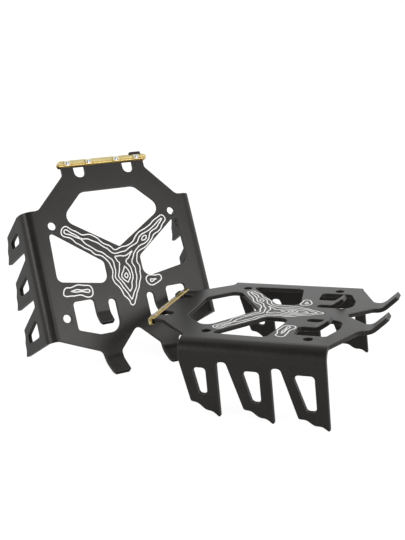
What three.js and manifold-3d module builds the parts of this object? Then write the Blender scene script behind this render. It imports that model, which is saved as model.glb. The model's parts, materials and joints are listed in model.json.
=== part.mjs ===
// A pair of splitboard crampons, one standing on its teeth and one leaning back behind it.
import * as THREE from 'three';
import { mergeVertices } from 'three/addons/utils/BufferGeometryUtils.js';
import Module from 'manifold-3d';

const wasm = await Module();
wasm.setup();

// Driving dimensions in millimetres. Each crampon has X across it, Y towards its bar and Z up from
// the top face of its plate. Y starts at the front edge of the flanges.
const sheet = 3;
const seatGap = 0.3;
const cutOverrun = 5;

const channel = {
  width: 134,
  length: 93.8,
  bendRadius: 8,
  splay: THREE.MathUtils.degToRad(3.3),
};

const tooth = {
  count: 3,
  firstTip: 27.4,
  pitch: 34.5,
  depth: 49.2,
  depthStep: 1.2,
  shoulderRun: 19.7,
  shoulderDepth: 39.4,
  shoulderStep: 2.7,
  lean: 2.5,
  frontSlant: 7.4,
  slantStep: 1.6,
  notchDepth: 12.9,
  notchStep: 1.45,
  notchWidth: 6,
  notchFillet: 2.6,
  scallop: 1.2,
  scallops: 2,
  tipFillet: 0.9,
  shoulderFillet: 1.5,
  frontFillet: 9,
};

const toothWindow = {
  top: 17.4,
  floor: 5,
  frontInset: 7.5,
  rearInset: 7.4,
  fillet: 2.4,
};

// The bar's offset is measured from the middle of the neck.
const bar = {
  reach: 31.85,
  overhang: 2.45,
  offset: 0.4,
  radius: 2.6,
  jaw: 3.2,
  lip: 0.7,
  facetDepth: 0.5,
  facetAngle: THREE.MathUtils.degToRad(50),
  bossHalf: 3,
};

// The rivets stand a little behind the middle of the bar's nose.
const rivet = {
  inner: 11,
  outerInset: 5.2,
  setback: 0.4,
  shank: 0.8,
  head: 1.35,
  crown: 0.5,
};

const tab = {
  width: 9,
  reach: 1.7,
  fillet: 0.9,
};

// The neck and its notches and rivets sit a little to one side of the middle.
const neck = {
  width: 65.4,
  offset: 1.3,
  slantStart: 23.6,
  slantStartFillet: 3,
  slantEndInset: 12,
  slantEndFillet: 6,
};

// A notch lies midway between two rivets.
const notch = {
  floor: 20.9,
  floorWidth: 8.1,
  mouthWidth: 9.5,
  fillet: 4,
};

// The front window's corners sit a little to the neck's side, and its apex in the middle.
const frontWindow = {
  offset: 0.9,
  front: 10.1,
  cornerHalf: 21.2,
  cornerFillet: 8,
  sideInset: 26.8,
  side: 8.5,
  sideFillet: 6.8,
  apex: 33.9,
  apexFillet: 2,
};

// The side window's webs are what is left of the sheet between it and the finger window.
const sideWindow = {
  outerInset: 16.1,
  outerFront: 15.6,
  outerFrontFillet: 2.5,
  outerRearInset: 14.9,
  outerWeb: 15.5,
  outerRearFillet: 4.8,
  spineHalf: 14,
  innerFront: 42.9,
  innerFrontFillet: 4,
  innerWeb: 11.3,
  innerRearFillet: 6,
};

const fixingHole = {
  radius: 3.05,
  frontInset: 19.6,
  front: 12.4,
  rearInset: 16.2,
  rearSetback: 14.6,
};

// The rear window holds a finger. Its stations are set back from the rear end of the flanges.
const fingerWindow = {
  outerInset: 22.6,
  front: 25.4,
  frontFillet: 2.8,
  spineHalf: 12.3,
  rear: 0.6,
  rearInset: 38.1,
  rearFillet: 8,
  slotFront: 23.2,
  slotFillet: 2.7,
  outerRear: 5,
  outerRearFillet: 2.5,
};

const finger = {
  slotWidth: 5.9,
  width: 10.3,
  bendStart: 15.8,
  bendRadius: 6,
  angle: THREE.MathUtils.degToRad(35),
  rise: 4.9,
  tipFillet: 2.5,
};

const hook = {
  innerHalf: 15.8,
  width: 13.8,
  taper: 1.2,
  rootSetback: 13.1,
  rootFillet: 4,
  bendStart: 16,
  bendRadius: 8.5,
  angle: THREE.MathUtils.degToRad(42.5),
  rise: 9,
  tipFillet: 3,
};

const rearEdge = {
  cornerInset: 7,
  cornerFillet: 8,
  apexAhead: 1.2,
  apexFillet: 4.5,
};

// How far the leaning crampon stands out past the other's side, and how far it reaches in past the
// other's bar, and how far it is turned.
const leaning = {
  stepAside: 38.8,
  overlap: 18.95,
  turn: THREE.MathUtils.degToRad(138.6),
};

const arcSteps = 6;
const roundSteps = 24;
const rivetSteps = 12;
const domeSteps = 3;

// A corner stays sharp where its two sides run this nearly straight on.
const straightShare = 0.01;

// Materials.
const anodised = { color: 0x4a4745, roughness: 0.55, metalness: 0.7 };
const gold = { color: 0xd0ae55, roughness: 0.3, metalness: 0.9 };
const steel = { color: 0xc9cdd4, roughness: 0.25, metalness: 0.9 };

// Solids.
function solidOf(geometry) {
  const bare = geometry.index ? geometry.toNonIndexed() : geometry.clone();
  bare.deleteAttribute('normal');
  bare.deleteAttribute('uv');
  const merged = mergeVertices(bare);
  return new wasm.Manifold(new wasm.Mesh({
    numProp: 3,
    vertProperties: new Float32Array(merged.attributes.position.array),
    triVerts: new Uint32Array(merged.index.array),
  }));
}

function meshOf(name, solid, look) {
  const { vertProperties, triVerts } = solid.getMesh();
  const geometry = new THREE.BufferGeometry();
  geometry.setAttribute('position', new THREE.BufferAttribute(vertProperties, 3));
  geometry.setIndex(new THREE.BufferAttribute(triVerts, 1));
  const flat = geometry.toNonIndexed();
  flat.computeVertexNormals();
  const mesh = new THREE.Mesh(flat, new THREE.MeshStandardMaterial(look));
  mesh.name = name;
  return mesh;
}

// Outlines. A corner is a point with the radius that rounds it.
function corner(x, y, radius = 0) {
  return { point: new THREE.Vector2(x, y), radius };
}

// How much of the side towards a neighbour a rounded corner may use.
function roomBeside(point, neighbour) {
  const side = point.distanceTo(neighbour.point);
  return neighbour.radius > 0 ? side / 2 : side;
}

function outline(corners) {
  const points = [];
  corners.forEach(({ point, radius }, index) => {
    const before = corners.at(index - 1);
    const after = corners[(index + 1) % corners.length];
    const back = before.point.clone().sub(point).normalize();
    const ahead = after.point.clone().sub(point).normalize();
    const half = Math.acos(THREE.MathUtils.clamp(back.dot(ahead), -1, 1)) / 2;
    if (radius === 0 || Math.cos(half) < straightShare) {
      points.push(point);
      return;
    }
    const room = Math.min(roomBeside(point, before), roomBeside(point, after));
    const run = Math.min(radius / Math.tan(half), room);
    const centre = back.clone().add(ahead).normalize().multiplyScalar(run / Math.cos(half)).add(point);
    const start = back.clone().multiplyScalar(run).add(point).sub(centre);
    const turn = Math.sign(back.cross(ahead)) * (Math.PI - 2 * half);
    for (let step = 0; step <= arcSteps; step += 1) {
      const swung = start.clone().rotateAround(new THREE.Vector2(), (-turn * step) / arcSteps);
      points.push(swung.add(centre));
    }
  });
  return points;
}

function mirrored(corners) {
  return corners.map(({ point, radius }) => corner(-point.x, point.y, radius)).reverse();
}

function movedAcross(corners, distance) {
  return corners.map(({ point, radius }) => corner(point.x + distance, point.y, radius));
}

// A prism along Z between two heights.
function prismUp(points, low, high) {
  const geometry = new THREE.ExtrudeGeometry(new THREE.Shape(points), {
    depth: high - low,
    bevelEnabled: false,
  });
  return solidOf(geometry.translate(0, 0, low));
}

// A prism along X of an outline drawn in Y and Z.
function prismAcross(points, left, right) {
  const geometry = new THREE.ExtrudeGeometry(new THREE.Shape(points), {
    depth: right - left,
    bevelEnabled: false,
  });
  const turn = new THREE.Matrix4().makeBasis(
    new THREE.Vector3(0, 1, 0),
    new THREE.Vector3(0, 0, 1),
    new THREE.Vector3(1, 0, 0),
  );
  return solidOf(geometry.applyMatrix4(turn).translate(left, 0, 0));
}

// A prism along Y of an outline drawn in X and Z.
function prismAlong(points, rear, front) {
  const geometry = new THREE.ExtrudeGeometry(new THREE.Shape(points), {
    depth: front - rear,
    bevelEnabled: false,
  });
  return solidOf(geometry.rotateX(Math.PI / 2).translate(0, front, 0));
}

function drillUp(x, y, radius, low, high) {
  const geometry = new THREE.CylinderGeometry(radius, radius, high - low, roundSteps);
  return solidOf(geometry.rotateX(Math.PI / 2).translate(x, y, (low + high) / 2));
}

// Stations that several pieces share.
const half = channel.width / 2;
const rear = -channel.length;
const deepest = tooth.depth + tooth.depthStep * (tooth.count - 1);
const plateFront = bar.reach + bar.lip;
const barLength = neck.width + 2 * bar.overhang;
const outerRivet = neck.width / 2 - rivet.outerInset;
const hookOuter = hook.innerHalf + hook.width;
const fingerInner = fingerWindow.spineHalf + finger.slotWidth;
const fingerOuter = fingerInner + finger.width;
const barMiddle = neck.offset + bar.offset;
const rivetReach = bar.reach - rivet.setback;
const rivetPlaces = [-outerRivet, -rivet.inner, rivet.inner, outerRivet].map((x) => x + neck.offset);

// Where the top face of a curled strip ends, and the step from there to its underside.
function curlTip(curl, start) {
  const arcRun = curl.bendRadius * Math.sin(curl.angle);
  const arcRise = curl.bendRadius * (1 - Math.cos(curl.angle));
  const straight = (curl.rise - arcRise) / Math.sin(curl.angle);
  return new THREE.Vector2(start - arcRun - straight * Math.cos(curl.angle), curl.rise);
}

function curlDrop(curl) {
  return new THREE.Vector2(-Math.sin(curl.angle), -Math.cos(curl.angle)).multiplyScalar(sheet);
}

function toothTip(index) {
  const depth = tooth.depth + tooth.depthStep * index;
  return new THREE.Vector2(-tooth.firstTip - tooth.pitch * index, -depth);
}

function toothShoulder(index) {
  const depth = tooth.shoulderDepth + tooth.shoulderStep * index;
  return new THREE.Vector2(toothTip(index).x + tooth.shoulderRun, -depth);
}

// The leaning front edge of a tooth at a height, and its rear edge.
function toothFront(index, z) {
  const low = toothShoulder(index);
  const slant = (tooth.frontSlant + tooth.slantStep * index) / (tooth.shoulderDepth - tooth.notchDepth);
  return low.x + (z - low.y) * slant;
}

function toothRear(index, z) {
  const tip = toothTip(index);
  return tip.x + ((z - tip.y) * tooth.lean) / (tooth.depth - tooth.notchDepth);
}

// The scalloped cutting edge runs from a tooth's shoulder down to its tip.
function cuttingEdge(index) {
  const from = toothShoulder(index);
  const to = toothTip(index);
  const steps = tooth.scallops * arcSteps;
  const points = [];
  for (let step = 1; step < steps; step += 1) {
    const share = step / steps;
    const wave = Math.sin(Math.PI * tooth.scallops * share) ** 2;
    const point = from.clone().lerp(to, share);
    points.push(corner(point.x, point.y + tooth.scallop * wave));
  }
  return points;
}

function flangeOutline() {
  const corners = [];
  const frontTop = -tooth.notchDepth;
  corners.push(corner(0, -channel.bendRadius));
  corners.push(corner(0, frontTop, tooth.frontFillet));
  for (let index = 0; index < tooth.count; index += 1) {
    const notchTop = -(tooth.notchDepth + tooth.notchStep * index);
    const shoulder = toothShoulder(index);
    const tip = toothTip(index);
    corners.push(corner(shoulder.x, shoulder.y, tooth.shoulderFillet));
    corners.push(...cuttingEdge(index));
    corners.push(corner(tip.x, tip.y, tooth.tipFillet));
    if (index < tooth.count - 1) {
      const notchRear = toothRear(index, notchTop) - tooth.notchWidth;
      corners.push(corner(toothRear(index, notchTop), notchTop, tooth.notchFillet));
      corners.push(corner(notchRear, notchTop, tooth.notchFillet));
    }
  }
  corners.push(corner(rear, -channel.bendRadius));
  return outline(corners);
}

function toothWindowOutline(index) {
  const top = -toothWindow.top;
  const floor = toothShoulder(index).y + toothWindow.floor;
  return outline([
    corner(toothFront(index, top) - toothWindow.frontInset, top, toothWindow.fillet),
    corner(toothFront(index, floor) - toothWindow.frontInset, floor, toothWindow.fillet),
    corner(toothRear(index, floor) + toothWindow.rearInset, floor, toothWindow.fillet),
    corner(toothRear(index, top) + toothWindow.rearInset, top, toothWindow.fillet),
  ]);
}

// The sheet bent over at both sides, as an outline in X and Z.
function channelOutline() {
  const foot = deepest + cutOverrun;
  const flare = foot * Math.tan(channel.splay);
  const inward = sheet / Math.cos(channel.splay);
  const side = [
    corner(half, 0, channel.bendRadius),
    corner(half + flare, -foot),
    corner(half + flare - inward, -foot),
    corner(half - inward + sheet * Math.tan(channel.splay), -sheet, channel.bendRadius - sheet),
  ];
  return outline([...mirrored(side), ...side]);
}

function plateOutline() {
  const wide = half + deepest;
  const front = plateFront;
  const slantEnd = half - neck.slantEndInset;
  const apex = rear + rearEdge.apexAhead;
  const root = rear - hook.rootSetback;
  const bend = rear - hook.bendStart;
  const neckSide = [
    corner(neck.width / 2, front),
    corner(neck.width / 2, neck.slantStart, neck.slantStartFillet),
  ];
  const side = [
    corner(slantEnd, 0, neck.slantEndFillet),
    corner(wide, 0),
    corner(wide, rear),
    corner(half - rearEdge.cornerInset, rear, rearEdge.cornerFillet),
    corner(hookOuter, root, hook.rootFillet),
    corner(hookOuter, bend),
    corner(hook.innerHalf, bend),
    corner(hook.innerHalf, apex - hook.innerHalf, hook.rootFillet),
  ];
  const neckSides = movedAcross([...mirrored(neckSide), ...neckSide], neck.offset);
  return outline([...mirrored(side), ...neckSides, ...side, corner(0, apex, rearEdge.apexFillet)]);
}

function notchOutline() {
  const floorHalf = notch.floorWidth / 2;
  const mouthHalf = notch.mouthWidth / 2;
  const mouth = plateFront + cutOverrun;
  const centre = (rivet.inner + outerRivet) / 2;
  return outline([
    corner(centre - mouthHalf, mouth),
    corner(centre - floorHalf, notch.floor, notch.fillet),
    corner(centre + floorHalf, notch.floor, notch.fillet),
    corner(centre + mouthHalf, mouth),
  ]);
}

function frontWindowOutline() {
  const side = [
    corner(frontWindow.cornerHalf, frontWindow.front, frontWindow.cornerFillet),
    corner(half - frontWindow.sideInset, -frontWindow.side, frontWindow.sideFillet),
  ];
  const apex = corner(0, -frontWindow.apex, frontWindow.apexFillet);
  return outline([...movedAcross([...mirrored(side), ...side], frontWindow.offset), apex]);
}

function sideWindowOutline() {
  const window = sideWindow;
  const outerRear = rear + fingerWindow.front + window.outerWeb;
  const innerRear = rear + fingerWindow.slotFront + window.innerWeb;
  return outline([
    corner(half - window.outerInset, -window.outerFront, window.outerFrontFillet),
    corner(half - window.outerRearInset, outerRear, window.outerRearFillet),
    corner(window.spineHalf, innerRear, window.innerRearFillet),
    corner(window.spineHalf, -window.innerFront, window.innerFrontFillet),
  ]);
}

function fingerWindowOutline() {
  const window = fingerWindow;
  const bend = rear + finger.bendStart;
  return outline([
    corner(half - window.outerInset, rear + window.front, window.frontFillet),
    corner(half - window.outerInset, rear + window.outerRear, window.outerRearFillet),
    corner(half - window.rearInset, rear - window.rear, window.rearFillet),
    corner(window.spineHalf, rear - window.rear, window.rearFillet),
    corner(window.spineHalf, rear + window.slotFront, window.slotFillet),
    corner(fingerInner, rear + window.slotFront, window.slotFillet),
    corner(fingerInner, bend),
    corner(fingerOuter, bend),
    corner(fingerOuter, rear + window.front, window.frontFillet),
  ]);
}

// A strip of the sheet that carries on flat, bends up and ends square, as an outline in Y and Z.
function curlOutline(curl, start) {
  const tip = curlTip(curl, start);
  const root = start + cutOverrun;
  const top = [];
  const under = [];
  for (let step = 0; step <= arcSteps; step += 1) {
    const angle = (curl.angle * step) / arcSteps;
    const centre = new THREE.Vector2(start, curl.bendRadius);
    const out = new THREE.Vector2(-Math.sin(angle), -Math.cos(angle));
    top.push(out.clone().multiplyScalar(curl.bendRadius).add(centre));
    under.push(out.clone().multiplyScalar(curl.bendRadius + sheet).add(centre));
  }
  return [
    new THREE.Vector2(root, 0),
    ...top,
    tip,
    tip.clone().add(curlDrop(curl)),
    ...under.reverse(),
    new THREE.Vector2(root, -sheet),
  ];
}

// The same strip from above, narrowed and rounded at its tip.
function stripOutline(curl, inner, outer, start) {
  const tip = curlTip(curl, start).x + curlDrop(curl).x;
  const narrowed = outer - (curl.taper ?? 0);
  const root = start + sheet;
  return outline([
    corner(outer, root),
    corner(inner, root),
    corner(inner, tip, curl.tipFillet),
    corner(narrowed, tip, curl.tipFillet),
  ]);
}

function curledStrip(curl, inner, outer, start) {
  const strip = prismAcross(curlOutline(curl, start), inner - cutOverrun, outer + cutOverrun);
  const rise = curl.rise + cutOverrun;
  return strip.intersect(prismUp(stripOutline(curl, inner, outer, start), -sheet - cutOverrun, rise));
}

function bothSides(solid) {
  return solid.add(solid.mirror([1, 0, 0]));
}

function tabOutline() {
  const centre = rivetPlaces.at(-1);
  const front = bar.reach + bar.radius + tab.reach;
  return outline([
    corner(centre - tab.width / 2, plateFront - sheet),
    corner(centre + tab.width / 2, plateFront - sheet),
    corner(centre + tab.width / 2, front, tab.fillet),
    corner(centre - tab.width / 2, front, tab.fillet),
  ]);
}

function plateSolid() {
  const wide = half + deepest;
  const through = [-sheet - cutOverrun, cutOverrun];
  const bend = rear - hook.bendStart;
  const slab = prismUp(plateOutline(), -channel.bendRadius, cutOverrun);
  const flanges = prismAcross(flangeOutline(), -wide, wide);
  let solid = prismAlong(channelOutline(), bend - cutOverrun, plateFront + cutOverrun);
  solid = solid.intersect(slab.add(flanges));
  for (let index = 0; index < tooth.count; index += 1) {
    solid = solid.subtract(prismAcross(toothWindowOutline(index), -wide, wide));
  }
  solid = solid.subtract(bothSides(prismUp(notchOutline(), ...through)).translate([neck.offset, 0, 0]));
  solid = solid.subtract(prismUp(frontWindowOutline(), ...through));
  solid = solid.subtract(bothSides(prismUp(sideWindowOutline(), ...through)));
  solid = solid.subtract(bothSides(prismUp(fingerWindowOutline(), ...through)));
  const holes = [
    [half - fixingHole.frontInset, -fixingHole.front],
    [half - fixingHole.rearInset, rear + fixingHole.rearSetback],
  ];
  holes.forEach(([x, y]) => {
    solid = solid.subtract(bothSides(drillUp(x, y, fixingHole.radius, ...through)));
  });
  const hooks = curledStrip(hook, hook.innerHalf, hookOuter, bend);
  const fingers = curledStrip(finger, fingerInner, fingerOuter, rear + finger.bendStart);
  solid = solid.add(bothSides(hooks)).add(bothSides(fingers));
  solid = solid.add(prismUp(tabOutline(), -sheet, 0));
  rivetPlaces.forEach((x) => {
    solid = solid.subtract(drillUp(x, rivetReach, rivet.shank + seatGap, ...through));
  });
  return solid;
}

// The bar's section: a round nose with two jaws behind it, as an outline in Y and Z.
function barOutline() {
  const middle = -sheet / 2;
  const points = [new THREE.Vector2(bar.reach - bar.jaw, middle + bar.radius)];
  for (let step = 0; step <= 2 * arcSteps; step += 1) {
    const angle = Math.PI / 2 - (Math.PI * step) / (2 * arcSteps);
    const out = new THREE.Vector2(Math.cos(angle), Math.sin(angle)).multiplyScalar(bar.radius);
    points.push(out.add(new THREE.Vector2(bar.reach, middle)));
  }
  points.push(new THREE.Vector2(bar.reach - bar.jaw, middle - bar.radius));
  return points;
}

function barEndsOutline() {
  const end = barLength / 2;
  const front = bar.reach + bar.radius;
  const back = bar.reach - bar.jaw;
  const side = [
    corner(end, front, bar.radius),
    corner(end, back, bar.radius),
  ];
  return outline(movedAcross([...mirrored(side), ...side], barMiddle));
}

// A flat milled along the bar's upper front edge between two rivets.
function facetSolid(left, right) {
  const reach = bar.radius - bar.facetDepth;
  const flat = [
    new THREE.Vector2(-cutOverrun, reach),
    new THREE.Vector2(cutOverrun, reach),
    new THREE.Vector2(cutOverrun, reach + cutOverrun),
    new THREE.Vector2(-cutOverrun, reach + cutOverrun),
  ];
  const middle = new THREE.Vector2(bar.reach, -sheet / 2);
  const turned = flat.map((point) => point.rotateAround(new THREE.Vector2(), -bar.facetAngle).add(middle));
  return prismAcross(turned, left, right);
}

function barSolid() {
  const end = barLength / 2 + bar.radius;
  const tall = bar.radius + sheet;
  let solid = prismAcross(barOutline(), barMiddle - end, barMiddle + end);
  solid = solid.intersect(prismUp(barEndsOutline(), -tall, tall));
  const slot = outline([
    corner(bar.reach - bar.jaw - cutOverrun, -sheet - seatGap),
    corner(plateFront + seatGap, -sheet - seatGap),
    corner(plateFront + seatGap, seatGap),
    corner(bar.reach - bar.jaw - cutOverrun, seatGap),
  ]);
  solid = solid.subtract(prismAcross(slot, barMiddle - end, barMiddle + end));
  const tabHalf = tab.width / 2 + seatGap;
  const tabSlot = slot.map((point) => new THREE.Vector2(point.x + bar.radius, point.y));
  const tabCentre = rivetPlaces.at(-1);
  solid = solid.subtract(prismAcross(tabSlot, tabCentre - tabHalf, tabCentre + tabHalf));
  for (let index = 1; index < rivetPlaces.length; index += 1) {
    const left = rivetPlaces[index - 1] + bar.bossHalf;
    const right = rivetPlaces[index] - bar.bossHalf;
    solid = solid.subtract(facetSolid(left, right));
  }
  rivetPlaces.forEach((x) => {
    solid = solid.subtract(drillUp(x, rivetReach, rivet.shank + seatGap, -tall, tall));
  });
  return solid;
}

// A rivet with a low domed head above and below the bar.
function rivetSolid(x) {
  const seat = bar.radius + seatGap / 2;
  const dome = [];
  for (let step = 0; step <= domeSteps; step += 1) {
    const angle = ((Math.PI / 2) * step) / domeSteps;
    dome.push(new THREE.Vector2(rivet.head * Math.cos(angle), seat + rivet.crown * Math.sin(angle)));
  }
  dome.at(-1).setX(0);
  const upper = [new THREE.Vector2(rivet.shank, 0), new THREE.Vector2(rivet.shank, seat), ...dome];
  const lower = upper.slice(1).map((point) => new THREE.Vector2(point.x, -point.y)).reverse();
  const geometry = new THREE.LatheGeometry([...lower, ...upper], rivetSteps);
  return solidOf(geometry.rotateX(Math.PI / 2).translate(x, rivetReach, -sheet / 2));
}

function crampon(side) {
  const group = new THREE.Group();
  group.add(meshOf(`${side}_plate`, plateSolid(), anodised));
  group.add(meshOf(`${side}_bar`, barSolid(), gold));
  rivetPlaces.forEach((x, index) => {
    group.add(meshOf(`${side}_rivet_${index + 1}`, rivetSolid(x), steel));
  });
  return group;
}

// Turn a crampon about X so that two points of its side view stand level.
function levelled(group, rearPoint, frontPoint) {
  const run = frontPoint.clone().sub(rearPoint);
  group.rotation.set(-run.angle(), 0, 0);
  return group;
}

// Turn a crampon about the upright and set it on the floor.
function stood(group, turn) {
  const holder = new THREE.Group();
  holder.add(group);
  holder.rotation.set(0, 0, turn);
  holder.position.setZ(-boxOf(holder).min.z);
  return holder;
}

function boxOf(group) {
  group.updateMatrixWorld(true);
  return new THREE.Box3().setFromObject(group, true);
}

const lastTip = toothTip(tooth.count - 1);
const heel = curlTip(hook, rear - hook.bendStart).add(curlDrop(hook));
const standing = stood(levelled(crampon('right'), lastTip, toothTip(0)), Math.PI);
const leant = stood(levelled(crampon('left'), heel, lastTip), leaning.turn);
const nearBox = boxOf(standing);
const farBox = boxOf(leant);
leant.position.setX(nearBox.min.x - leaning.stepAside - farBox.min.x);
leant.position.setY(nearBox.min.y + leaning.overlap - farBox.max.y);

const pair = new THREE.Group();
pair.add(standing);
pair.add(leant);
const middle = boxOf(pair).getCenter(new THREE.Vector3());
pair.position.set(-middle.x, -middle.y, 0);

const group = new THREE.Group();
group.name = 'splitboard_crampons';
group.add(pair);

export default group;
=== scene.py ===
import json
import math

import bmesh
import bpy
import numpy as np
from mathutils import Matrix, Vector


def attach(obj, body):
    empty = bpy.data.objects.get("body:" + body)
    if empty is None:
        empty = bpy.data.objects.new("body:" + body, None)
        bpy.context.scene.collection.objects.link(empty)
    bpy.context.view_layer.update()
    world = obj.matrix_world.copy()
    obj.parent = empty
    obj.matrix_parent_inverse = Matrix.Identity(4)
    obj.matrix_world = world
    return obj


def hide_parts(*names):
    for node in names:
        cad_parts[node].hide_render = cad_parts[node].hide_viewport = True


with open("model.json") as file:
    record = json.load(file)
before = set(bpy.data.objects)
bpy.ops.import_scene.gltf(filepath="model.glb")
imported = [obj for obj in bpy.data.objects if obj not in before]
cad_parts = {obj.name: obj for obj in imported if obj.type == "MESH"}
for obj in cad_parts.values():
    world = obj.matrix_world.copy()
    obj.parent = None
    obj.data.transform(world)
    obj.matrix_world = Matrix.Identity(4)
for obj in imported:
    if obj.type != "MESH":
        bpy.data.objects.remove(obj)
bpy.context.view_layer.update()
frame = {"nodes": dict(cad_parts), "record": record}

MM = 0.001
SIDES = ("right", "left")
RIVETS = range(1, 5)

# How far each crampon is turned about the upright, and how far behind the front edge of its
# flanges the middle of its spine lies, where the frame has its mount.
TURNS = {"right": math.pi, "left": math.radians(138.6)}
SPINE_SETBACK = 52.0

# The sheet of the plates.
SHEET = 3.0
MERGE_DISTANCE = 0.001
FLAT_ENOUGH = math.radians(0.5)
EDGE_ROUND = 0.4
EDGE_STEPS = 2
EDGE_ANGLE = math.radians(40)
NORMAL_WEIGHT = 100

# The bars. Sizes are in millimetres from the axis of the bar's nose. A flat faces an angle, where 0
# is forwards and 90 is up, and lies at a share of the nose's radius from the axis. On the bosses
# that stand round the rivets it lies further out, by another share.
SLOT_DEPTH = 1.0
SLOT_END_DEPTH = -1.3
SLOT_END_LENGTH = 1.3
SEAT_GAP = 0.2
TONGUE_WIDTH = 9.0
TONGUE_REACH = 4.0
FLATS = (
    (90, 0.90, 0.3),
    (48, 0.92, 0.3),
    (130, 1.17, 0.08),
    (-48, 0.92, 0.3),
    (-90, 0.90, 0.3),
    (-130, 1.17, 0.08),
)
FRONT_TAPER = 4.0
BACK_TAPER = 2.0
BOSS_HALF = 2.4
FLAT_RUN_IN = 0.7
EDGE_SOFTNESS = 55
BAR_ROWS = 520
BAR_COLUMNS = 96
CAP_ROWS = 7
FIRST_TURN = 0.02
CENTRE_MARK_DEPTH = 0.5
CENTRE_MARK_RADIUS = 0.8
SHARP_ANGLE = math.radians(32)
LEAST_COSINE = 0.001

# The bar's painted light and shade, by the angle round it in degrees: painted shade deepens the strips
# between the bosses and the back, and the bosses carry a painted highlight.
PLAIN_TONE = 0.5
STRIP_START = 62
STRIP_SHADE = 0.16
BACK_START = 112
BACK_FADE = 12
BACK_SHADE = 0.12

# The rivet heads.
HEAD_SINK = 0.5
HEAD_RIM = 0.1
HEAD_CROWN = 0.26
DIMPLE_RADIUS = 0.5
DIMPLE_DEPTH = 0.14
RIVET_COLUMNS = 48
RIVET_ROWS = 24

# The printed contour lines follow a made-up hill map. A ridge runs from its first point to its
# second, and its half width goes from its first value to its second. The lines lie a gap apart.
LINE_WIDTH = 0.8
LINE_PROUD = 0.05
LINE_GAP = 2.7
MAP_LOW = (-54.0, -84.0)
MAP_HIGH = (54.0, -8.0)
MAP_STEP = 0.4
RIDGES = (
    ((38.2, -17.6), (20.5, -30.0), 3.3, 4.0),
    ((20.5, -30.0), (3.5, -42.4), 4.0, 4.9),
    ((-38.2, -17.6), (-20.5, -30.0), 3.3, 4.0),
    ((-20.5, -30.0), (-3.5, -42.4), 4.0, 4.9),
    ((0.0, -45.0), (0.0, -56.0), 7.6, 9.2),
    ((0.0, -56.0), (0.0, -75.5), 9.6, 2.6),
    ((-46.0, -60.5), (-31.0, -62.5), 3.2, 3.6),
    ((18.8, -63.0), (24.5, -61.4), 3.4, 2.8),
)
RIDGE_BLEND = 2.6
WAVES = (
    (0.44, (0.36, 0.19), 0.4),
    (0.38, (-0.22, 0.47), 1.9),
    (0.30, (0.66, -0.31), 3.1),
    (0.22, (0.15, 0.83), 5.0),
)
SLOPE_STEP = 0.05

# The photograph's view, with the place in metres and the directions as unit vectors.
CAMERA_PLACE = (0.588392, 0.211429, 0.245762)
CAMERA_RIGHT = (-0.327203, 0.944828, -0.015416)
CAMERA_LOOK = (-0.907168, -0.318645, -0.274796)
CAMERA_LENS = 61.41
SENSOR_WIDTH = 36
CLIP_START = 0.01

# The soft light from all round. Gloss sees the backdrop fade towards the dark side of the room: the
# cosine of the angle from its middle where the fade starts and ends, and what is left at its end.
SOFT_LIGHT = 0.8
DARK_SIDE = (0.62, 0.0, 0.78)
DARK_FADE = (0.58, 0.90)
DARK_GLOW = 0.12

# Colours are linear.
BLACK_ANODISED = (0.0088, 0.0081, 0.0074)
# The lighter black is a painted highlight along the rounded edges of the plates.
BLACK_EDGE_HIGHLIGHT = (0.055, 0.052, 0.048)
BLACK_GLOSS = (1.0, 0.965, 0.935)
GOLD_ANODISED = (0.64, 0.56, 0.29)
# The pale gold is a painted highlight on the bosses. The deep gold is painted shade on the back and on
# the strips between the bosses, and is also the colour of the cutter marks.
GOLD_HIGHLIGHT = (0.84, 0.80, 0.64)
GOLD_SHADE_AND_MARKS = (0.36, 0.245, 0.075)
RIVET_STEEL = (0.50, 0.51, 0.60)
PRINT_WHITE = (0.90, 0.90, 0.89)
FLOOR_WHITE = (0.86, 0.86, 0.86)

# Noise in the materials: its scale in turns per millimetre, and its detail.
PLATE_GRAIN = (1.3, 3.0)
PLATE_CLOUDS = (0.045, 4.0)
PLATE_SPECKS = (1.1, 1.0)
MILL_MARKS = (1.2, 3.0)
MILL_STRETCH = (0.10, 2.6, 2.6)
RIVET_MARKS = (6.0, 2.0)
INK_SPREAD = (1.8, 3.0)

# The floor's half width in metres, and its glow and its lit share, to gloss and to the camera.
FLOOR_HALF = 6.0
FLOOR_GLOW = (0.15, 0.9)
FLOOR_LIT = (0.5, 0.2)

# The lamps: place and target in metres, width, height, and power in watts.
LAMPS = (
    ("back_panel", (-1.1, -0.02, 0.42), (0.05, 0.06, 0.05), 0.8, 0.4, 0.3),
    ("right_panel", (0.41, 0.95, 0.48), (0.02, -0.07, 0.06), 0.6, 0.5, 5.2),
    ("left_panel", (0.84, -0.62, 0.33), (0.04, -0.06, 0.06), 0.35, 0.3, 2.4),
)


# Places and meshes.
def crampon_axes(side):
    """The matrix from a crampon's own millimetres to the frame's metres.

    X runs across the crampon, Y towards its bar and Z out of the top face of its plate. The mount
    on the spine gives Z, the turn gives X, and Y is square to both.
    """
    mount = next(m for m in frame["record"]["mounts"] if m["name"] == f"{side}_top_face")
    up = Vector(mount["axis"]).normalized()
    across = Vector((math.cos(TURNS[side]), math.sin(TURNS[side]), 0))
    along = up.cross(across)
    turn = Matrix((across, along, up)).transposed().to_4x4()
    place = Vector(mount["pos_m"]) + along * SPINE_SETBACK * MM
    return Matrix.Translation(place) @ turn @ Matrix.Scale(MM, 4)


def carried(points, matrix):
    """Points of any array shape, taken through a matrix."""
    m = np.array(matrix)
    return points @ m[:3, :3].T + m[:3, 3]


def vertices_of(mesh):
    co = np.empty(len(mesh.vertices) * 3, np.float32)
    mesh.vertices.foreach_get("co", co)
    return co.reshape(-1, 3).astype(float)


def own_extent(side, node):
    """The lowest and highest corners of a CAD node in its crampon's own axes."""
    own = carried(vertices_of(frame["nodes"][node].data), AXES[side].inverted())
    return own.min(axis=0), own.max(axis=0)


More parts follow.
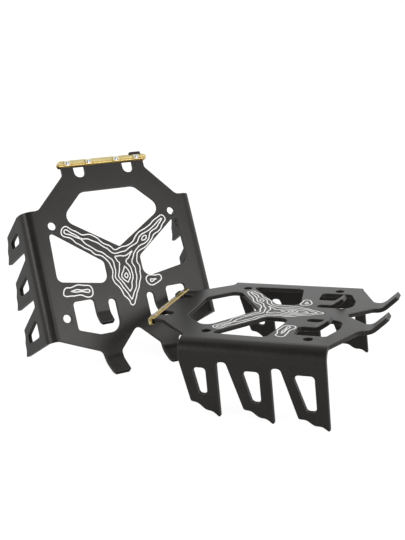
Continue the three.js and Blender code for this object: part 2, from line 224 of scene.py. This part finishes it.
def remember_places(mesh, side):
    """Keep each vertex's place in the crampon's own axes, for the materials to read."""
    own = carried(vertices_of(mesh), AXES[side].inverted())
    layer = mesh.attributes.new("place", "FLOAT_VECTOR", "POINT")
    layer.data.foreach_set("vector", own.astype(np.float32).ravel())


def grid_faces(rows, columns):
    """Quads of a grid whose columns close into a ring, as rows of four vertex numbers."""
    row, column = np.meshgrid(np.arange(rows - 1), np.arange(columns), indexing="ij")
    after = (column + 1) % columns
    low = row * columns
    high = low + columns
    return np.stack([low + column, low + after, high + after, high + column], axis=-1).reshape(-1, 4)


def mesh_object(name, points, faces):
    mesh = bpy.data.meshes.new(name)
    mesh.from_pydata(points.reshape(-1, 3).tolist(), [], faces)
    piece = bpy.data.objects.new(name, mesh)
    bpy.context.scene.collection.objects.link(piece)
    return piece


def close_poles(mesh):
    """Merge the points that fall together, and turn every face outwards."""
    work = bmesh.new()
    work.from_mesh(mesh)
    bmesh.ops.remove_doubles(work, verts=work.verts, dist=MERGE_DISTANCE * MM)
    bmesh.ops.dissolve_degenerate(work, edges=work.edges, dist=MERGE_DISTANCE * MM)
    bmesh.ops.recalc_face_normals(work, faces=work.faces)
    work.to_mesh(mesh)
    work.free()


def smooth(mesh, angle=None):
    mesh.polygons.foreach_set("use_smooth", np.ones(len(mesh.polygons), bool))
    if angle is not None:
        mesh.set_sharp_from_angle(angle=angle)
    mesh.update()


def finish_piece(piece, side, nodes, material):
    piece.data.materials.clear()
    piece.data.materials.append(material)
    if nodes:
        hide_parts(*nodes)
    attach(piece, side)


# Material helpers.
def shaded(colour, share):
    return tuple(share * c for c in colour)


def new_material(name):
    material = bpy.data.materials.new(name)
    material.use_nodes = True
    nodes = material.node_tree.nodes
    return material, nodes, material.node_tree.links, nodes["Principled BSDF"]


def set_sockets(node, **values):
    for name, value in values.items():
        node.inputs[name.replace("_", " ")].default_value = value


def noise(nodes, links, vector, scale, detail=2.0):
    node = nodes.new("ShaderNodeTexNoise")
    set_sockets(node, Scale=scale, Detail=detail)
    links.new(vector, node.inputs["Vector"])
    return node.outputs["Fac"]


def ramp(nodes, links, factor, low, high, start, end):
    """A smooth change from one value to another as the factor goes from start to end."""
    node = nodes.new("ShaderNodeMapRange")
    node.interpolation_type = "SMOOTHSTEP"
    links.new(factor, node.inputs["Value"])
    for name, value in (("From Min", start), ("From Max", end), ("To Min", low), ("To Max", high)):
        node.inputs[name].default_value = value
    return node.outputs["Result"]


def mix_colours(nodes, links, factor, first, second):
    node = nodes.new("ShaderNodeMix")
    node.data_type = "RGBA"
    links.new(factor, node.inputs["Factor"])
    for socket, value in ((node.inputs[6], first), (node.inputs[7], second)):
        if isinstance(value, tuple):
            socket.default_value = (*value, 1)
        else:
            links.new(value, socket)
    return node.outputs[2]


def bumped(nodes, links, height, strength, distance):
    node = nodes.new("ShaderNodeBump")
    set_sockets(node, Strength=strength, Distance=distance)
    links.new(height, node.inputs["Height"])
    return node.outputs["Normal"]


def own_places(nodes):
    node = nodes.new("ShaderNodeAttribute")
    node.attribute_name = "place"
    return node.outputs["Vector"]


# Materials.
def black_anodised():
    """Bead-blasted sheet, dyed black: a fine grain, faint clouding, light specks and a painted
    highlight along the rounded edges.
    """
    material, nodes, links, shader = new_material("black_anodised")
    place = own_places(nodes)
    grain = noise(nodes, links, place, *PLATE_GRAIN)
    clouds = noise(nodes, links, place, *PLATE_CLOUDS)
    specks = noise(nodes, links, place, *PLATE_SPECKS)
    rim = nodes.new("ShaderNodeAttribute")
    rim.attribute_name = "rim"
    clouded = mix_colours(
        nodes, links, ramp(nodes, links, clouds, 0.0, 1.0, 0.35, 0.7),
        shaded(BLACK_ANODISED, 0.8), shaded(BLACK_ANODISED, 1.2),
    )
    grained = mix_colours(
        nodes, links, ramp(nodes, links, grain, 0.0, 0.35, 0.45, 0.7),
        clouded, shaded(BLACK_ANODISED, 3.0),
    )
    speckled = mix_colours(
        nodes, links, ramp(nodes, links, specks, 0.0, 0.7, 0.74, 0.80),
        grained, shaded(BLACK_ANODISED, 5.0),
    )
    # A lighter colour along the rounded edges: a painted highlight.
    edge_highlighted = mix_colours(
        nodes, links, ramp(nodes, links, rim.outputs["Fac"], 0.0, 1.0, 0.1, 0.8),
        speckled, BLACK_EDGE_HIGHLIGHT,
    )
    links.new(edge_highlighted, shader.inputs["Base Color"])
    links.new(ramp(nodes, links, grain, 0.30, 0.42, 0.3, 0.7), shader.inputs["Roughness"])
    links.new(bumped(nodes, links, grain, 0.25, 0.04 * MM), shader.inputs["Normal"])
    set_sockets(
        shader, Metallic=0.0, IOR=1.5, Specular_IOR_Level=0.33, Specular_Tint=(*BLACK_GLOSS, 1),
    )
    return material


def gold_anodised():
    """Milled bar, dyed gold: cutter marks run along it, and each kind of face gets its own painted
    light and shade.

    The attribute read here is near 0 on the faces behind, which carry painted shade, and 1 on the
    bosses, which carry a painted highlight.
    """
    material, nodes, links, shader = new_material("gold_anodised")
    place = own_places(nodes)
    stretch = nodes.new("ShaderNodeMapping")
    stretch.inputs["Scale"].default_value = MILL_STRETCH
    links.new(place, stretch.inputs["Vector"])
    marks = noise(nodes, links, stretch.outputs["Vector"], *MILL_MARKS)
    painted_light = nodes.new("ShaderNodeAttribute")
    painted_light.attribute_name = "painted_light"
    # Painted shade on the faces behind and on the strips, then a painted highlight on the bosses.
    shade_painted = mix_colours(
        nodes, links, ramp(nodes, links, painted_light.outputs["Fac"], 0.0, 1.0, 0.0, PLAIN_TONE),
        GOLD_SHADE_AND_MARKS, GOLD_ANODISED,
    )
    highlight_painted = mix_colours(
        nodes, links, ramp(nodes, links, painted_light.outputs["Fac"], 0.0, 1.0, PLAIN_TONE, 1.0),
        shade_painted, GOLD_HIGHLIGHT,
    )
    streaked = mix_colours(
        nodes, links, ramp(nodes, links, marks, 0.0, 0.5, 0.52, 0.36),
        highlight_painted, GOLD_SHADE_AND_MARKS,
    )
    links.new(streaked, shader.inputs["Base Color"])
    links.new(ramp(nodes, links, marks, 0.22, 0.36, 0.3, 0.7), shader.inputs["Roughness"])
    links.new(bumped(nodes, links, marks, 0.35, 0.05 * MM), shader.inputs["Normal"])
    set_sockets(shader, Metallic=1.0)
    return material


def rivet_steel():
    """Bright headed steel with fine turning marks."""
    material, nodes, links, shader = new_material("rivet_steel")
    place = own_places(nodes)
    marks = noise(nodes, links, place, *RIVET_MARKS)
    tinted = mix_colours(
        nodes, links, ramp(nodes, links, marks, 0.0, 1.0, 0.35, 0.65),
        shaded(RIVET_STEEL, 0.8), RIVET_STEEL,
    )
    links.new(tinted, shader.inputs["Base Color"])
    links.new(ramp(nodes, links, marks, 0.22, 0.36, 0.3, 0.7), shader.inputs["Roughness"])
    links.new(bumped(nodes, links, marks, 0.15, 0.02 * MM), shader.inputs["Normal"])
    set_sockets(shader, Metallic=1.0)
    return material


def print_ink():
    """Screen-printed white ink, slightly uneven."""
    material, nodes, links, shader = new_material("print_ink")
    place = own_places(nodes)
    spread = noise(nodes, links, place, *INK_SPREAD)
    inked = mix_colours(
        nodes, links, ramp(nodes, links, spread, 0.0, 1.0, 0.3, 0.6),
        shaded(PRINT_WHITE, 0.82), PRINT_WHITE,
    )
    links.new(inked, shader.inputs["Base Color"])
    links.new(bumped(nodes, links, spread, 0.2, 0.02 * MM), shader.inputs["Normal"])
    set_sockets(shader, Roughness=0.6)
    return material


# Plates.
def plate_piece(side, material):
    """The frame's plate, with its cut edges rounded over and its bends smooth.

    The attribute rim is 1 along the middle of each rounded edge and fades to 0 at its sides. The
    rounding isn't held back where edges lie close together, and the mesh has folds and a few open
    edges, so it isn't a closed skin.
    """
    name = f"{side}_plate"
    work = bmesh.new()
    work.from_mesh(frame["nodes"][name].data)
    bmesh.ops.remove_doubles(work, verts=work.verts, dist=MERGE_DISTANCE * MM)
    paired = [e for e in work.edges if len(e.link_faces) == 2]
    level = [e for e in paired if e.calc_face_angle(math.pi) < FLAT_ENOUGH]
    bmesh.ops.beautify_fill(work, faces=work.faces, edges=level, method="AREA")
    paired = [e for e in work.edges if len(e.link_faces) == 2]
    cut = [e for e in paired if e.calc_face_angle(math.pi) > EDGE_ANGLE]
    rounded = set(bmesh.ops.bevel(
        work, geom=cut, offset=EDGE_ROUND * MM, offset_type="OFFSET", segments=EDGE_STEPS,
        profile=0.5, affect="EDGES", clamp_overlap=False,
    )["faces"])
    # This marks the rounded edges, where the black material paints a highlight.
    rim = [float(all(face in rounded for face in vertex.link_faces)) for vertex in work.verts]
    mesh = bpy.data.meshes.new(f"{name}_sheet")
    work.to_mesh(mesh)
    work.free()
    mesh.attributes.new("rim", "FLOAT", "POINT").data.foreach_set("value", rim)
    remember_places(mesh, side)
    smooth(mesh)
    piece = bpy.data.objects.new(f"{name}_sheet", mesh)
    bpy.context.scene.collection.objects.link(piece)
    evening = piece.modifiers.new("normals", "WEIGHTED_NORMAL")
    evening.weight = NORMAL_WEIGHT
    finish_piece(piece, side, [name], material)


# Bars.
def milled_share(x, rivets):
    """How far the flats are milled at each station: 0 on a boss, rising to 1 beside it."""
    clear = np.min(np.abs(x[:, None] - rivets[None, :]), axis=1) - BOSS_HALF
    run = np.clip(clear / FLAT_RUN_IN, 0, 1)
    return run * run * (3 - 2 * run)


def bar_limits(x, angle, radius, jaw, ends, milled):
    """How far each of the bar's faces lets a ray from its axis go, one array for each face.

    The nose is a circle and the jaws end in a square back. A flat stops the ray at its distance over
    the cosine of the angle from it. From above, each end is a quarter of an ellipse in front and
    another behind, so the front and the back draw in towards it as the ellipses' half chords do.
    """
    ahead = np.maximum(np.cos(angle), LEAST_COSINE)[None, :]
    behind = np.maximum(-np.cos(angle), LEAST_COSINE)[None, :]
    upright = np.maximum(np.abs(np.sin(angle)), LEAST_COSINE)[None, :]
    from_end = np.minimum(x - ends[0], ends[1] - x)[:, None]
    front, back = (
        np.sqrt(1 - (1 - np.clip(from_end / taper, 0, 1)) ** 2) for taper in (FRONT_TAPER, BACK_TAPER)
    )
    nose = np.where(np.cos(angle)[None, :] > 0, radius, radius / upright)
    limits = [nose + 0 * from_end, radius * front / ahead, jaw * back / behind]
    for facing, share, lift in FLATS:
        lean = np.maximum(np.cos(angle - math.radians(facing)), LEAST_COSINE)[None, :]
        limits.append(radius * (share + lift * (1 - milled[:, None])) / lean)
    return np.stack(limits)


def bar_surface(low, high, rivets):
    """The bar's outside as a grid of stations along X and angles round the section.

    The reach at each angle is the soft least of the faces' limits, which rounds the edges between
    them. At both ends the last section shrinks to a point, and a small centre mark is pressed in.
    """
    radius = (high[2] - low[2]) / 2
    middle = np.array([0, high[1] - radius, (high[2] + low[2]) / 2])
    turn = np.linspace(FIRST_TURN, math.pi - FIRST_TURN, BAR_ROWS)
    x = (low[0] + high[0]) / 2 - (high[0] - low[0]) / 2 * np.cos(turn)
    angle = np.linspace(0, 2 * math.pi, BAR_COLUMNS, endpoint=False)
    jaw = middle[1] - low[1]
    limits = bar_limits(x, angle, radius, jaw, (low[0], high[0]), milled_share(x, rivets))
    reach = np.sum(limits ** -EDGE_SOFTNESS, axis=0) ** (-1 / EDGE_SOFTNESS)
    shrink = np.linspace(0, 1, CAP_ROWS, endpoint=False)[:, None]
    reach = np.concatenate([reach[:1] * shrink, reach, reach[-1:] * shrink[::-1]])
    x = np.concatenate([np.full(CAP_ROWS, x[0]), x, np.full(CAP_ROWS, x[-1])])
    inward = np.sign((low[0] + high[0]) / 2 - x)
    mark = CENTRE_MARK_DEPTH * np.exp(-((reach / CENTRE_MARK_RADIUS) ** 4))
    x = x[:, None] + inward[:, None] * mark
    y = middle[1] + reach * np.cos(angle)
    z = middle[2] + reach * np.sin(angle)
    return np.stack([x, y, z], axis=-1), middle


def slot_surface(low, high, middle, tongue):
    """A cutter for the slot: an outline in X and Y, taken between two heights.

    The slot is shallow at both ends of the bar and deep between them, and the tongue's notch goes
    right through the nose.
    """
    half_height = SHEET / 2 + SEAT_GAP
    half_tongue = TONGUE_WIDTH / 2 + SEAT_GAP
    back, front = low[1] - SHEET, middle[1] + SLOT_DEPTH
    nose, shallow = front + TONGUE_REACH, middle[1] + SLOT_END_DEPTH
    from_right, from_left = high[0] - SLOT_END_LENGTH, low[0] + SLOT_END_LENGTH
    right = [(high[0] + SHEET, shallow), (from_right, shallow), (from_right, front)]
    left = [(from_left, front), (from_left, shallow), (low[0] - SHEET, shallow)]
    notch = [
        (tongue + half_tongue, front), (tongue + half_tongue, nose),
        (tongue - half_tongue, nose), (tongue - half_tongue, front),
    ]
    outline = np.array([(low[0] - SHEET, back), (high[0] + SHEET, back), *right, *notch, *left])
    count = len(outline)
    heights = (middle[2] - half_height, middle[2] + half_height)
    corners = [np.column_stack([outline, np.full(count, height)]) for height in heights]
    number = np.arange(count)
    after = (number + 1) % count
    sides = np.stack([number, after, after + count, number + count], axis=-1)
    caps = [number[::-1].tolist(), (number + count).tolist()]
    return np.concatenate(corners), sides.tolist() + caps


def bar_painted_light(own, middle, rivets):
    """Plain gold at a half, a painted highlight on the bosses at one, painted shade between them and
    the deepest painted shade behind.

    A boss fades out with the sixth power of the distance from its rivet along the bar. The painted
    shade deepens over the strips between the bosses, and again past the angle where the back begins.
    """
    away = np.min(np.abs(own[:, :1] - rivets[None, :]), axis=1)
    boss = np.clip(1 - (away / BOSS_HALF) ** 6, 0, 1)
    height = np.abs(own[:, 2] - middle[2])
    turn = np.degrees(np.arctan2(height, own[:, 1] - middle[1]))
    ahead = np.clip((BACK_START - turn) / BACK_FADE, 0, 1)
    strip = np.clip((turn - STRIP_START) / BACK_FADE, 0, 1) * (1 - boss)
    front = PLAIN_TONE - BACK_SHADE + (1 - PLAIN_TONE) * boss - STRIP_SHADE * strip
    return BACK_SHADE + front * ahead


def bar_piece(side, material):
    """The pivot bar: its outside, with the slot that takes the neck of the plate cut from behind."""
    low, high = own_extent(side, f"{side}_bar")
    rivets = np.array([sum(own_extent(side, f"{side}_rivet_{i}"))[0] / 2 for i in RIVETS])
    points, middle = bar_surface(low, high, rivets)
    faces = grid_faces(len(points), BAR_COLUMNS).tolist()
    piece = mesh_object(f"{side}_bar_milled", carried(points, AXES[side]), faces)
    close_poles(piece.data)
    corners, faces = slot_surface(low, high, middle, rivets[-1])
    cutter = mesh_object(f"{side}_bar_cutter", carried(corners, AXES[side]), faces)
    close_poles(cutter.data)
    cut = piece.modifiers.new("slot", "BOOLEAN")
    cut.object = cutter
    cut.operation = "DIFFERENCE"
    cut.solver = "EXACT"
    bpy.context.view_layer.update()
    whole = bpy.data.meshes.new_from_object(piece.evaluated_get(bpy.context.evaluated_depsgraph_get()))
    piece.modifiers.clear()
    piece.data = whole
    bpy.data.objects.remove(cutter)
    remember_places(whole, side)
    own = carried(vertices_of(whole), AXES[side].inverted())
    # Painted light and shade for the gold, by boss and by the angle round the bar.
    layer = whole.attributes.new("painted_light", "FLOAT", "POINT")
    layer.data.foreach_set("value", bar_painted_light(own, middle, rivets).astype(np.float32))
    smooth(whole, SHARP_ANGLE)
    finish_piece(piece, side, [f"{side}_bar"], material)


# Rivets.
def rivet_profile(radius, seat):
    """Distances from the rivet's axis and heights over its middle, from its upper tip to its lower.

    Each head is a low crown over a straight rim, with a small dimple in its middle. The crown
    falls off as the square root of what is left of the radius squared, and the dimple is a bell.
    """
    share = np.linspace(0, 1, RIVET_ROWS)
    out = radius * np.sin(share * math.pi / 2)
    crown = seat + HEAD_RIM + HEAD_CROWN * np.sqrt(np.clip(1 - (out / radius) ** 2, 0, 1))
    crown -= DIMPLE_DEPTH * np.exp(-((out / DIMPLE_RADIUS) ** 4))
    upper_out = np.concatenate([out, [radius, radius / 2]])
    upper_high = np.concatenate([crown, [seat - HEAD_SINK, seat - HEAD_SINK]])
    return np.concatenate([upper_out, upper_out[::-1]]), np.concatenate([upper_high, -upper_high[::-1]])


def rivet_piece(side, index, material):
    name = f"{side}_rivet_{index}"
    low, high = own_extent(side, name)
    bar_low, bar_high = own_extent(side, f"{side}_bar")
    middle = (low + high) / 2
    radius = (high[0] - low[0]) / 2
    out, height = rivet_profile(radius, (bar_high[2] - bar_low[2]) / 2)
    angle = np.linspace(0, 2 * math.pi, RIVET_COLUMNS, endpoint=False)
    x = middle[0] + out[:, None] * np.cos(angle)
    y = middle[1] + out[:, None] * np.sin(angle)
    z = middle[2] + np.repeat(height[:, None], RIVET_COLUMNS, axis=1)
    points = carried(np.stack([x, y, z], axis=-1), AXES[side])
    piece = mesh_object(f"{name}_head", points, grid_faces(len(out), RIVET_COLUMNS).tolist())
    close_poles(piece.data)
    remember_places(piece.data, side)
    smooth(piece.data, SHARP_ANGLE)
    finish_piece(piece, side, [name], material)


# Printed lines.
def hill_height(points):
    """The made-up height at each point, in gaps between lines.

    A ridge's height is its half width less the distance from its spine. Ridges run together as a
    soft greatest value, and a few slanting waves ruffle the whole.
    """
    heights = []
    for first, last, first_half, last_half in RIDGES:
        run = np.subtract(last, first)
        share = np.clip((points - first) @ run / (run @ run), 0, 1)
        away = np.linalg.norm(points - first - share[..., None] * run, axis=-1)
        heights.append(first_half + (last_half - first_half) * share - away)
    joined = RIDGE_BLEND * np.log(np.sum(np.exp(np.stack(heights) / RIDGE_BLEND), axis=0))
    waves = sum(size * np.sin(points @ np.array(pace) + start) for size, pace, start in WAVES)
    return (joined + waves) / LINE_GAP


def crossings(points, height, level):
    """Where a level cuts the map's triangles: the two ends of each short stretch.

    In a cut triangle one corner lies alone on its side of the level, and the ends lie on its two
    edges, in proportion to the heights.
    """
    above = height > level
    count = above.sum(axis=1)
    cut = (count == 1) | (count == 2)
    points, height, above, count = points[cut], height[cut], above[cut], count[cut]
    alone = np.argmax(above == (count == 1)[:, None], axis=1)
    each = np.arange(len(alone))
    ends = []
    for step in (1, 2):
        other = (alone + step) % 3
        share = (level - height[each, alone]) / (height[each, other] - height[each, alone])
        ends.append(points[each, alone] + share[:, None] * (points[each, other] - points[each, alone]))
    return np.stack(ends, axis=1)


def uphill(points):
    """The unit slope of the height, from its change over a short step each way."""
    steps = np.array([[SLOPE_STEP, 0], [0, SLOPE_STEP]])
    slope = np.stack([hill_height(points + s) - hill_height(points - s) for s in steps], axis=-1)
    return slope / np.linalg.norm(slope, axis=-1, keepdims=True)


def map_triangles():
    """The map as small triangles, two to each square of its grid."""
    x = np.arange(MAP_LOW[0], MAP_HIGH[0], MAP_STEP)
    y = np.arange(MAP_LOW[1], MAP_HIGH[1], MAP_STEP)
    grid = np.stack(np.meshgrid(x, y, indexing="ij"), axis=-1)
    a, b, c, d = grid[:-1, :-1], grid[1:, :-1], grid[1:, 1:], grid[:-1, 1:]
    return np.concatenate([np.stack(t, axis=2).reshape(-1, 3, 2) for t in ((a, b, c), (a, c, d))])


def lines_piece(side, material):
    """The printed lines: thin bands along the levels of the hill map.

    A band's edges lie half a line's width up and down the slope from each end of each stretch, so
    that neighbouring stretches meet. The band stands just proud of the sheet and just below it.
    """
    triangles = map_triangles()
    height = hill_height(triangles)
    levels = np.arange(0, math.floor(height.max()) + 1)
    ends = np.concatenate([crossings(triangles, height, level) for level in levels])
    aside = uphill(ends) * LINE_WIDTH / 2
    corners = []
    for sign, high in ((1, LINE_PROUD), (-1, LINE_PROUD), (-1, -LINE_PROUD), (1, -LINE_PROUD)):
        flat = ends + sign * aside
        corners.append(np.concatenate([flat, np.full((*flat.shape[:2], 1), high)], axis=-1))
    own = np.stack(corners, axis=1)
    first = np.arange(len(own))[:, None] * own.shape[1] * own.shape[2]
    faces = []
    for row in range(4):
        after = (row + 1) % 4
        faces.append(first + np.array([2 * row, 2 * row + 1, 2 * after + 1, 2 * after]))
    points = carried(own.reshape(-1, 3), AXES[side])
    piece = mesh_object(f"{side}_contour_lines", points, np.concatenate(faces).tolist())
    close_poles(piece.data)
    remember_places(piece.data, side)
    finish_piece(piece, side, [], material)


# Floor, light and camera.
def studio_floor():
    """A wide white floor with a faint shadow. Straight from the camera it glows, so it shows as white.

    Gloss and glass see less glow and more of the lit floor, so that the shadow darkens them too.
    """
    half = FLOOR_HALF
    corners = np.array([[-half, -half, 0], [half, -half, 0], [half, half, 0], [-half, half, 0]])
    floor = mesh_object("studio_floor", corners, [[0, 1, 2, 3]])
    material, nodes, links, shader = new_material("floor_white")
    set_sockets(shader, Base_Color=(*FLOOR_WHITE, 1), Roughness=0.9)
    path = nodes.new("ShaderNodeLightPath")
    glow = nodes.new("ShaderNodeEmission")
    camera_ray = path.outputs["Is Camera Ray"]
    links.new(ramp(nodes, links, camera_ray, *FLOOR_GLOW, 0.0, 1.0), glow.inputs["Strength"])
    lit = nodes.new("ShaderNodeBsdfDiffuse")
    links.new(ramp(nodes, links, camera_ray, *FLOOR_LIT, 0.0, 1.0), lit.inputs["Color"])
    seen = nodes.new("ShaderNodeAddShader")
    links.new(glow.outputs[0], seen.inputs[0])
    links.new(lit.outputs[0], seen.inputs[1])
    chosen = nodes.new("ShaderNodeMixShader")
    links.new(white_rays(nodes, links), chosen.inputs["Fac"])
    links.new(shader.outputs[0], chosen.inputs[1])
    links.new(seen.outputs[0], chosen.inputs[2])
    links.new(chosen.outputs[0], nodes["Material Output"].inputs["Surface"])
    floor.data.materials.append(material)


def white_rays(nodes, links):
    """One for rays that come straight from the camera, off a glossy surface or through a clear one."""
    path = nodes.new("ShaderNodeLightPath")
    either = nodes.new("ShaderNodeMath")
    either.operation = "MAXIMUM"
    links.new(path.outputs["Is Camera Ray"], either.inputs[0])
    links.new(path.outputs["Is Glossy Ray"], either.inputs[1])
    any_of = nodes.new("ShaderNodeMath")
    any_of.operation = "MAXIMUM"
    links.new(either.outputs[0], any_of.inputs[0])
    links.new(path.outputs["Is Transmission Ray"], any_of.inputs[1])
    return any_of.outputs[0]


def studio_world():
    """A white backdrop all round. Gloss sees it fade towards the side that lies open to the room."""
    world = bpy.data.worlds.new("studio")
    world.use_nodes = True
    nodes = world.node_tree.nodes
    links = world.node_tree.links
    backdrop = nodes["Background"]
    set_sockets(backdrop, Color=(1, 1, 1, 1))
    path = nodes.new("ShaderNodeLightPath")
    place = nodes.new("ShaderNodeTexCoord")
    towards = nodes.new("ShaderNodeVectorMath")
    towards.operation = "DOT_PRODUCT"
    towards.inputs[1].default_value = DARK_SIDE
    links.new(place.outputs["Generated"], towards.inputs[0])
    faded = ramp(nodes, links, towards.outputs["Value"], 1.0, DARK_GLOW, *DARK_FADE)
    strength = nodes.new("ShaderNodeMix")
    strength.inputs["A"].default_value = 1.0
    links.new(path.outputs["Is Glossy Ray"], strength.inputs["Factor"])
    links.new(faded, strength.inputs["B"])
    chosen = nodes.new("ShaderNodeMix")
    chosen.inputs["A"].default_value = SOFT_LIGHT
    links.new(white_rays(nodes, links), chosen.inputs["Factor"])
    links.new(strength.outputs["Result"], chosen.inputs["B"])
    links.new(chosen.outputs["Result"], backdrop.inputs["Strength"])
    bpy.context.scene.world = world


def soft_lamp(name, place, target, width, height, power):
    lamp = bpy.data.lights.new(name, "AREA")
    lamp.shape = "RECTANGLE"
    lamp.size = width
    lamp.size_y = height
    lamp.energy = power
    piece = bpy.data.objects.new(name, lamp)
    piece.location = place
    piece.rotation_euler = (Vector(target) - Vector(place)).to_track_quat("-Z", "Y").to_euler()
    bpy.context.scene.collection.objects.link(piece)


def photo_camera():
    """The camera's place and turn in the frame. Its up is square to its right and its look."""
    right = Vector(CAMERA_RIGHT).normalized()
    back = -Vector(CAMERA_LOOK).normalized()
    up = back.cross(right)
    turn = Matrix((right, up, back)).transposed().to_4x4()
    lens = bpy.data.cameras.new("photo_camera")
    lens.lens = CAMERA_LENS
    lens.sensor_width = SENSOR_WIDTH
    lens.clip_start = CLIP_START
    camera = bpy.data.objects.new("photo_camera", lens)
    camera.matrix_world = Matrix.Translation(CAMERA_PLACE) @ turn
    bpy.context.scene.collection.objects.link(camera)
    bpy.context.scene.camera = camera


AXES = {side: crampon_axes(side) for side in SIDES}

photo_camera()
studio_world()
studio_floor()
for lamp in LAMPS:
    soft_lamp(*lamp)

black = black_anodised()
gold = gold_anodised()
steel = rivet_steel()
ink = print_ink()
for side in SIDES:
    plate_piece(side, black)
    bar_piece(side, gold)
    for index in RIVETS:
        rivet_piece(side, index, steel)
    lines_piece(side, ink)

bpy.context.scene.view_settings.view_transform = "Standard"
